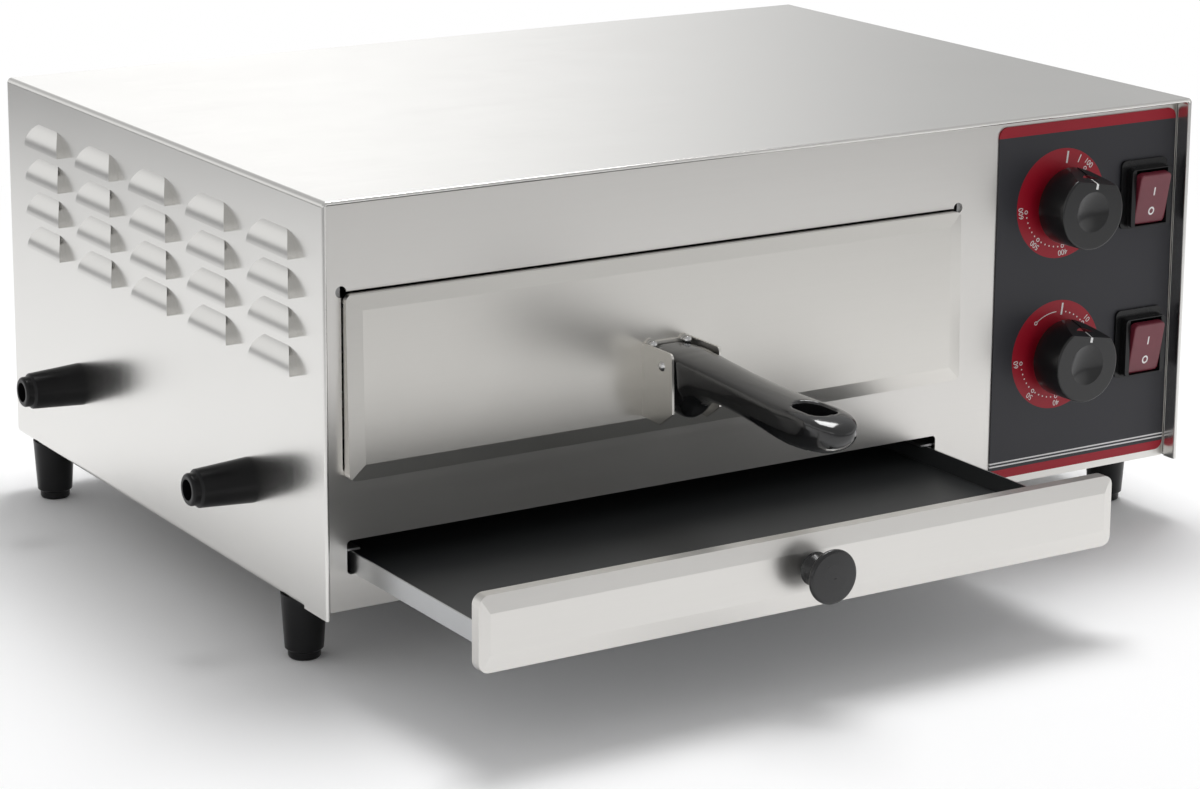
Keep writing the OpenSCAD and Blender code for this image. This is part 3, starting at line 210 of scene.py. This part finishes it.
def mouldedPlastic(name, colour, roughness, grain=0.00003, gloss=0.0, shine=0.5):
    paint = Paint(name)
    where = paint.place()
    skin = paint.noise(where, 1600.0, 2.0)
    cloud = paint.noise(where, 60.0, 3.0)
    rubbed = tuple(min(1.0, c * 1.3 + 0.002) for c in colour)
    paint.set(Base_Color=paint.mixColour(cloud, colour, rubbed),
              Roughness=roughness + (cloud - 0.5) * 0.07,
              Normal=paint.bump(skin, 0.2, grain), Coat_Weight=gloss, Coat_Roughness=0.08,
              Specular_IOR_Level=shine)
    return paint


labelPrint = {
    "ground": (0.029, 0.029, 0.035),
    "red": (0.36, 0.004, 0.018),
    "white": (0.80, 0.79, 0.79),
    "topBand": 5.6 * mm,
    "bottomBand": 4.6 * mm,
    "lineAt": (6.3 * mm, 8.0 * mm),   # heights of the two thin lines over the label's foot
    "lineWidth": 0.75 * mm,
    "dialRadius": 28.3 * mm,
    "markRadius": 22.4 * mm,
    "dotSize": 0.42 * mm,
    "ringSize": (0.62 * mm, 1.05 * mm),
    "tickHalves": (0.55 * mm, 0.3 * mm),
    "tickInners": (20.6 * mm, 22.6 * mm),
    "tickOuter": 26.8 * mm,
    "arcHalf": 0.22 * mm,
}
# angles in degrees, clockwise from the top
temperatureDial = {
    "numbers": {264: "600", 219: "500", 175: "400", 131: "300", 87: "200", 42: "100"},
    "dots": (42.0, 264.0, 7.4),
    "ticks": (8.0, 27.0),
    "arc": None,
    "arcRing": [],
}
timerDial = {
    "numbers": {265: "60", 219: "50", 177: "40", 136: "30", 93: "20", 50: "10"},
    "dots": (15.1, 265.0, 7.1),
    "ticks": (8.0,),
    "arc": (326.0, 359.0),
    "arcRing": [323],      # a ring stands at the arc's end
}


def dialMarks(x, z, centre, dial, style):
    dx, dz = x - centre.x, z - centre.z
    away = (dx * dx + dz * dz) ** 0.5
    turn = dx.angleTo(dz)
    first, last, step = dial["dots"]
    degree = style["markRadius"] * math.pi / 180    # its length on the marks' circle
    aside = ((turn - first + step / 2).remainder(step) - step / 2) * degree
    out = away - style["markRadius"]
    marks = ((aside * aside + out * out) ** 0.5 < style["dotSize"]) * turn.between(
        first - step / 2, last + step / 2)
    for angle in list(dial["numbers"]) + dial["arcRing"]:
        swing = math.radians(angle)
        ringX = dx - math.sin(swing) * style["markRadius"]
        ringZ = dz - math.cos(swing) * style["markRadius"]
        ring = (ringX * ringX + ringZ * ringZ) ** 0.5
        marks = (marks * (ring > style["ringSize"][1])).orElse(ring.between(*style["ringSize"]))
    for angle, half, inner in zip(dial["ticks"], style["tickHalves"], style["tickInners"]):
        swing = math.radians(angle)
        along = dx * math.sin(swing) + dz * math.cos(swing)
        across = (dx * math.cos(swing) - dz * math.sin(swing)).size()
        marks = marks.orElse(along.between(inner, style["tickOuter"]) * (across < half))
    if dial["arc"]:
        marks = marks.orElse(turn.between(*dial["arc"]) * (out.size() < style["arcHalf"]))
    return marks


def printedLabel(name, low, high, dials, style=labelPrint):
    paint = Paint(name)
    where = paint.place()
    x, y, z = paint.axes(where)
    red = (z > high.z - style["topBand"]).orElse(z < low.z + style["bottomBand"])
    white = None
    for height in style["lineAt"]:
        line = z.between(low.z + height, low.z + height + style["lineWidth"])
        white = line if white is None else white.orElse(line)
    for centre, dial in dials:
        dx, dz = x - centre.x, z - centre.z
        red = red.orElse((dx * dx + dz * dz) ** 0.5 < style["dialRadius"])
        white = white.orElse(dialMarks(x, z, centre, dial, style))
    skin = paint.noise(where, 2200.0, 2.0)
    cloud = paint.noise(where, 30.0, 3.0)
    colour = paint.mixColour(red, style["ground"], style["red"])
    colour = paint.mixColour(white, colour, style["white"])
    paint.set(Base_Color=colour, Roughness=0.40 + skin * 0.06 + (cloud - 0.5) * 0.08,
              Normal=paint.bump(skin, 0.12, 0.00002), Specular_IOR_Level=0.4)
    return paint.material


lensColour = {
    "deep": (0.13, 0.008, 0.020),
    "pale": (0.21, 0.030, 0.050),
    "mark": (0.86, 0.83, 0.83),
    "tilt": 11.0,                  # degrees, as the rocker stands at rest
    "pivotDepth": 2.2 * mm,        # from the label's face out to the pivot
    "markShift": 0.3 * mm,
    "lineHeight": 4.6 * mm,
    "lineHalf": (0.42 * mm, 2.2 * mm),
    "ringHeight": -6.2 * mm,
    "ringSquash": 0.86,
    "ringSize": (1.15 * mm, 1.95 * mm),
    "faceDepth": 2.5 * mm,         # the marks lie only further out than this
}


def redLens(name, pivot, style=lensColour):
    paint = Paint(name)
    where = paint.place()
    x, y, z = paint.axes(where)
    lean = math.radians(style["tilt"])
    dx = x - (pivot.x + style["markShift"])
    up = (z - pivot.z) * math.cos(lean) - (y - pivot.y) * math.sin(lean)
    halfWidth, halfHeight = style["lineHalf"]
    line = (dx.size() < halfWidth) * up.near(style["lineHeight"], halfHeight)
    rise = (up - style["ringHeight"]) * style["ringSquash"]
    ring = ((dx * dx + rise * rise) ** 0.5).between(*style["ringSize"])
    cloud = paint.noise(where, 130.0, 2.0)
    colour = paint.mixColour(cloud * 0.6, style["deep"], style["pale"])
    colour = paint.mixColour(line.orElse(ring) * (y < pivot.y - style["faceDepth"]), colour,
                             style["mark"])
    paint.set(Base_Color=colour, Roughness=0.36 + cloud * 0.10, Coat_Weight=0.25,
              Coat_Roughness=0.25, Normal=paint.bump(cloud, 0.05, 0.0001))
    return paint.material


# the pointer is a painted line, which turns over the knob's rim on to the face
pointerLine = {
    "turn": 10.0,           # degrees, clockwise from the top
    "half": 0.75 * mm,
    "inner": 11.6 * mm,
    "back": 8.5 * mm,       # how far back from the face the line reaches
    "colour": (0.85, 0.85, 0.84),
}


def knobPlastic(name, centre, front, style=pointerLine):
    paint = mouldedPlastic(name, (0.0045, 0.0045, 0.005), 0.30, gloss=0.35, shine=0.4)
    x, y, z = paint.axes(paint.place())
    swing = math.radians(style["turn"])
    along = (x - centre.x) * math.sin(swing) + (z - centre.z) * math.cos(swing)
    across = (x - centre.x) * math.cos(swing) - (z - centre.z) * math.sin(swing)
    line = (across.size() < style["half"]) * (along > style["inner"]) * (y < front + style["back"])
    plain = Wire(paint, paint.shader.inputs["Base Color"].links[0].from_socket)
    paint.set(Base_Color=paint.mixColour(line, plain, style["colour"]))
    return paint.material


trayCoat = {
    "outside": (0.66, 0.67, 0.68),
    "inside": (0.030, 0.032, 0.033),
    "wall": 0.7 * mm,
}


def coatedPan(name, low, high, style=trayCoat):
    paint = Paint(name)
    where = paint.place()
    x, y, z = paint.axes(where)
    wall = style["wall"]
    inside = (x.between(low.x + wall, high.x - wall) * y.between(low.y + wall, high.y - wall)
              * (z > low.z + wall))
    cloud = paint.noise(where, 18.0, 4.0, 0.6)
    grit = paint.noise(where, 1200.0, 2.0)
    outside = paint.mixColour(cloud, style["outside"], tuple(c * 0.86 for c in style["outside"]))
    coat = paint.mixColour(cloud, style["inside"], tuple(c * 1.5 for c in style["inside"]))
    paint.set(Base_Color=paint.mixColour(inside, outside, coat), Metallic=1.0 - inside,
              Roughness=0.34 + inside * 0.08 + (cloud - 0.5) * 0.1,
              Normal=paint.bump(grit, 0.12, 0.00002))
    return paint.material


def plainWhite(name):
    paint = Paint(name)
    where = paint.place()
    cloud = paint.noise(where, 400.0, 2.0)
    paint.set(Base_Color=paint.mixColour(cloud, (0.74, 0.74, 0.73), (0.84, 0.84, 0.83)),
              Roughness=0.5)
    return paint.material


def paintNodes(material, *names):
    for name in names:
        mesh = nodes[name].data
        mesh.materials.clear()
        mesh.materials.append(material)


knobCentres = []
for name in ("thermostat_shaft", "timer_shaft"):
    low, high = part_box(name)
    knobCentres.append((low + high) / 2)
labelLow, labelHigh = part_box("control_label")
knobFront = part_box("temperature_knob")[0].y


def rockerPivot(name):
    low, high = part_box(name)
    return Vector(((low.x + high.x) / 2, labelLow.y - lensColour["pivotDepth"],
                   (low.z + high.z) / 2))


wrapSteel = brushedSteel("wrapSteel", "xz", tint=(1.0, 0.995, 0.985))
frontSteel = brushedSteel("frontSteel", "xy", tint=(0.96, 0.947, 0.93), roughness=0.09)
doorSteel = brushedSteel("doorSteel", "xy", tint=(0.97, 0.955, 0.925), roughness=0.08)
insideMetal = dullMetal("insideMetal", (0.42, 0.42, 0.42), (0.28, 0.28, 0.28), 0.42)
panMetal = coatedPan("panMetal", *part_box("crumb_tray_pan"))
rodMetal = dullMetal("rodMetal", (0.72, 0.72, 0.72), (0.60, 0.60, 0.60), 0.22)
sheathMetal = dullMetal("sheathMetal", (0.12, 0.10, 0.09), (0.06, 0.05, 0.05), 0.55)
copper = dullMetal("copper", (0.72, 0.42, 0.28), (0.55, 0.30, 0.20), 0.3)
temperatureBlack = knobPlastic("temperatureBlack", knobCentres[0], knobFront)
timerBlack = knobPlastic("timerBlack", knobCentres[1], knobFront)
trayKnobBlack = mouldedPlastic("trayKnobBlack", (0.007, 0.007, 0.0075), 0.26,
                               gloss=0.2).material
blackSwitch = mouldedPlastic("blackSwitch", (0.005, 0.005, 0.0055), 0.26, shine=0.4).material
blackHandle = mouldedPlastic("blackHandle", (0.0055, 0.0055, 0.006), 0.15, 0.00001,
                             gloss=0.5).material
blackFoot = mouldedPlastic("blackFoot", (0.0045, 0.0045, 0.005), 0.30, shine=0.25).material
paleCeramic = mouldedPlastic("paleCeramic", (0.62, 0.60, 0.55), 0.6).material
controlPlastic = mouldedPlastic("controlPlastic", (0.10, 0.09, 0.085), 0.5).material
labelFilm = printedLabel("labelFilm", labelLow, labelHigh,
                         list(zip(knobCentres, (temperatureDial, timerDial))))
inkWhite = plainWhite("inkWhite")

paintNodes(wrapSteel, "outer_wrapper", "back_panel")
paintNodes(frontSteel, "front_panel", "crumb_tray_front")
paintNodes(doorSteel, "door_skin", "handle_bracket")
paintNodes(insideMetal, "base_pan", "oven_chamber", "heat_shield", "hinge_lug_left",
           "hinge_lug_right", "tray_rail_left", "tray_rail_right", "rack_ledge_left",
           "rack_ledge_right", "door_liner", "upper_element_hangers", "lower_element_stands")
paintNodes(panMetal, "crumb_tray_pan")
paintNodes(rodMetal, "wire_rack", "hinge_pins", "handle_rivet", "bracket_rivets",
           "back_panel_screws", "foot_screws", "bumper_screws", "tray_knob_screw",
           "thermostat_shaft", "timer_shaft")
paintNodes(sheathMetal, "upper_element", "lower_element")
paintNodes(copper, "thermostat_bulb")
paintNodes(paleCeramic, "element_bushings", "terminal_block")
paintNodes(controlPlastic, "thermostat_body", "timer_body")
paintNodes(temperatureBlack, "temperature_knob")
paintNodes(timerBlack, "timer_knob")
paintNodes(trayKnobBlack, "tray_knob")
paintNodes(blackSwitch, "upper_switch_housing", "lower_switch_housing", "cord_bushing")
paintNodes(blackHandle, "handle")
paintNodes(blackFoot, "foot_front_left", "foot_front_right", "foot_rear_left", "foot_rear_right",
           "side_bumper_front", "side_bumper_rear")
paintNodes(labelFilm, "control_label")
for name in ("upper_rocker", "lower_rocker"):
    paintNodes(redLens("lens_" + name, rockerPivot(name)), name)
print("finishes done")


# ---- handle and rockers: the CAD pieces' forms with soft edges ----

gripFinish = {"voxel": 0.75 * mm, "softness": 0.5, "rounds": 9}
rockerFinish = {"voxel": 0.32 * mm, "softness": 0.5, "rounds": 14}


def softCopy(source, name, body, style):
    bpy.ops.object.select_all(action="DESELECT")
    piece = nodes[source].copy()
    piece.data = nodes[source].data.copy()
    piece.name = name
    bpy.context.scene.collection.objects.link(piece)
    piece.select_set(True)
    bpy.context.view_layer.objects.active = piece
    bpy.ops.object.mode_set(mode="EDIT")
    bpy.ops.mesh.select_all(action="SELECT")
    bpy.ops.mesh.remove_doubles(threshold=0.01 * mm)
    bpy.ops.object.mode_set(mode="OBJECT")
    remesh = piece.modifiers.new("skin", "REMESH")
    remesh.mode = "VOXEL"
    remesh.voxel_size = style["voxel"]
    remesh.use_smooth_shade = True
    smooth = piece.modifiers.new("soften", "SMOOTH")
    smooth.factor = style["softness"]
    smooth.iterations = style["rounds"]
    for modifier in (remesh, smooth):
        bpy.ops.object.modifier_apply(modifier=modifier.name)
    bpy.ops.object.shade_smooth()
    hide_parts(source)
    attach(piece, body)
    return piece


softCopy("handle", "gripHandle", "door", gripFinish)
softCopy("upper_rocker", "softUpperRocker", "upper_rocker", rockerFinish)
softCopy("lower_rocker", "softLowerRocker", "lower_rocker", rockerFinish)
print("handle and rockers done")


# ---- dial numbers ----

numberStyle = {"size": 4.1 * mm, "radius": 25.6 * mm, "thickness": 0.03 * mm}


def dialNumber(name, text, centre, angle, style=numberStyle):
    bpy.ops.object.select_all(action="DESELECT")
    bpy.ops.object.text_add()
    number = bpy.context.object
    number.name = name
    number.data.body = text
    number.data.size = style["size"]
    number.data.extrude = style["thickness"]
    number.data.align_x = "CENTER"
    number.data.align_y = "CENTER"
    bpy.ops.object.convert(target="MESH")
    swing = math.radians(angle)
    reach = style["radius"]
    spot = Vector((centre.x + reach * math.sin(swing), labelLow.y - style["thickness"],
                   centre.z + reach * math.cos(swing)))
    number.matrix_world = (Matrix.Translation(spot) @ Matrix.Rotation(swing, 4, "Y")
                           @ Matrix.Rotation(math.radians(90), 4, "X"))
    bpy.ops.object.transform_apply(location=True, rotation=True, scale=True)
    number.data.materials.clear()
    number.data.materials.append(inkWhite)
    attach(number, "oven_body")
    return number


for dialName, centre, dial in (("temperature", knobCentres[0], temperatureDial),
                               ("timer", knobCentres[1], timerDial)):
    for angle, text in dial["numbers"].items():
        dialNumber(dialName + "Number" + text, text, centre, angle)
print("dial numbers done")


# ---- studio ----

studio = {
    "floorSize": 12.0,
    # the floor's grey is painted shade in place of the key light's falloff: the floor is painted
    # darker to the sides and towards the camera
    "floorLitWhite": (0.97, 0.97, 0.975),
    "shadeColour": (0.42, 0.42, 0.425),
    "litHalf": 0.80,        # the floor stays white this far to each side of the camera's view; beyond it, painted shade darkens it
    "shadeFade": 1.35,
    "shadeFront": (0.42, 1.1),   # where the painted shade starts and ends, darkening the floor towards the camera
    "backdrop": (0.35, 0.85),    # where it starts and ends to turn plain white behind
    # the sky's levels, then where one passes into the next, as parts of 1 across the view,
    # along it and upwards
    "brightSky": 1.30,        # low, behind
    "sideSky": 0.90,          # low, to the left
    "dimSky": 0.50,           # above and to the right
    "frontSky": 0.90,         # low, to the right in front
    "sideEdge": (-0.42, -0.12),
    "rightEdge": (-0.10, 0.13),
    "frontEdge": (-0.55, -0.25),
    "frontEnd": (0.2, 0.6),
    "topEdge": (0.25, 0.42),
    "keyPower": 26.0,
    "keySize": 0.9,
    "keyPlace": (0.36, 0.36, 1.9),
}


def paintFloor(name, style=studio):
    paint = Paint(name)
    x, y, z = paint.axes(paint.place())
    turn = math.radians(view["turn"])
    aside = (x * math.cos(turn) - y * math.sin(turn)).size()
    behind = x * math.sin(turn) + y * math.cos(turn)
    # painted shade: the floor turns grey to the sides and towards the camera
    paintedFloorShade = aside.ramp(style["litHalf"], style["shadeFade"]).orElse(
        (-1 * behind).ramp(*style["shadeFront"]))
    paint.set(Base_Color=paint.mixColour(paintedFloorShade, style["floorLitWhite"], style["shadeColour"]),
              Roughness=0.9)
    rays = paint.tree.nodes.new("ShaderNodeLightPath")
    camera, glossy, through = (
        Wire(paint, rays.outputs["Is " + kind + " Ray"])
        for kind in ("Camera", "Glossy", "Transmission"))
    seen = camera.orElse(glossy).orElse(through)
    white = paint.node("ShaderNodeEmission", values={"Color": (1, 1, 1), "Strength": 1.0})
    blend = paint.tree.nodes.new("ShaderNodeMixShader")
    paint.feed(blend.inputs["Fac"], seen * behind.ramp(*style["backdrop"])
               * (1.0 - aside.ramp(style["litHalf"], style["shadeFade"])))
    paint.tree.links.new(paint.shader.outputs[0], blend.inputs[1])
    paint.tree.links.new(white.socket, blend.inputs[2])
    paint.tree.links.new(blend.outputs[0], paint.tree.nodes["Material Output"].inputs["Surface"])
    return paint.material


def paintSky(style=studio):
    world = bpy.data.worlds.new("studio")
    bpy.context.scene.world = world
    paint = Paint("studio", world)
    x, y, z = paint.axes(paint.node("ShaderNodeTexCoord", output="Generated"))
    turn = math.radians(view["turn"])
    aside = x * math.cos(turn) - y * math.sin(turn)   # 0 straight behind, 1 to the right
    low = style["sideSky"] + (aside.ramp(*style["sideEdge"])
                              * (style["brightSky"] - style["sideSky"]))
    behind = x * math.sin(turn) + y * math.cos(turn)
    front = behind.ramp(*style["frontEdge"]) * (1.0 - behind.ramp(*style["frontEnd"]))
    right = aside.ramp(*style["rightEdge"])
    low = (low * (1.0 - right)
           + (style["dimSky"] + front * (style["frontSky"] - style["dimSky"])) * right)
    above = z.ramp(*style["topEdge"])
    level = low * (1.0 - above) + style["dimSky"] * above
    background = world.node_tree.nodes["Background"]
    paint.feed(background.inputs["Strength"], level)
    background.inputs["Color"].default_value = (1, 1, 1, 1)


def makeStudio(style=studio):
    bpy.ops.object.select_all(action="DESELECT")
    bpy.ops.mesh.primitive_plane_add(size=style["floorSize"], location=(0, 0, 0))
    floor = bpy.context.object
    floor.name = "floor"
    floor.data.materials.append(paintFloor("floorPaint"))
    paintSky()


def softBox(name, place, target, size, power):
    light = bpy.data.lights.new(name, "AREA")
    light.shape = "SQUARE"
    light.size = size
    light.energy = power
    lamp = bpy.data.objects.new(name, light)
    bpy.context.scene.collection.objects.link(lamp)
    lamp.location = place
    lamp.rotation_euler = (Vector(target) - Vector(place)).to_track_quat("-Z", "Y").to_euler()
    return lamp


view = {
    "place": (-0.89665, -1.39265, 0.53625),
    "turn": 32.06,       # degrees to the right of straight on
    "tilt": 12.45,       # degrees down
    "roll": 0.36,
    "lens": 101.445,
    "shift": -0.15,
}

makeStudio()
softBox("keyLight", studio["keyPlace"], (0, 0, 0.1), studio["keySize"], studio["keyPower"])


# ---- camera ----

def makeCamera(style=view):
    camera = bpy.data.cameras.new("camera")
    camera.lens = style["lens"]
    camera.sensor_width = 36.0
    camera.sensor_fit = "HORIZONTAL"
    camera.shift_y = style["shift"]
    camera.clip_end = 50
    stand = bpy.data.objects.new("camera", camera)
    bpy.context.scene.collection.objects.link(stand)
    aim = Euler((math.radians(90 - style["tilt"]), 0, -math.radians(style["turn"]))).to_matrix()
    aim = aim @ Matrix.Rotation(math.radians(style["roll"]), 3, "Z")
    stand.matrix_world = Matrix.Translation(style["place"]) @ aim.to_4x4()
    bpy.context.scene.camera = stand


makeCamera()
bpy.context.scene.view_settings.view_transform = "Standard"
print("studio and camera done")
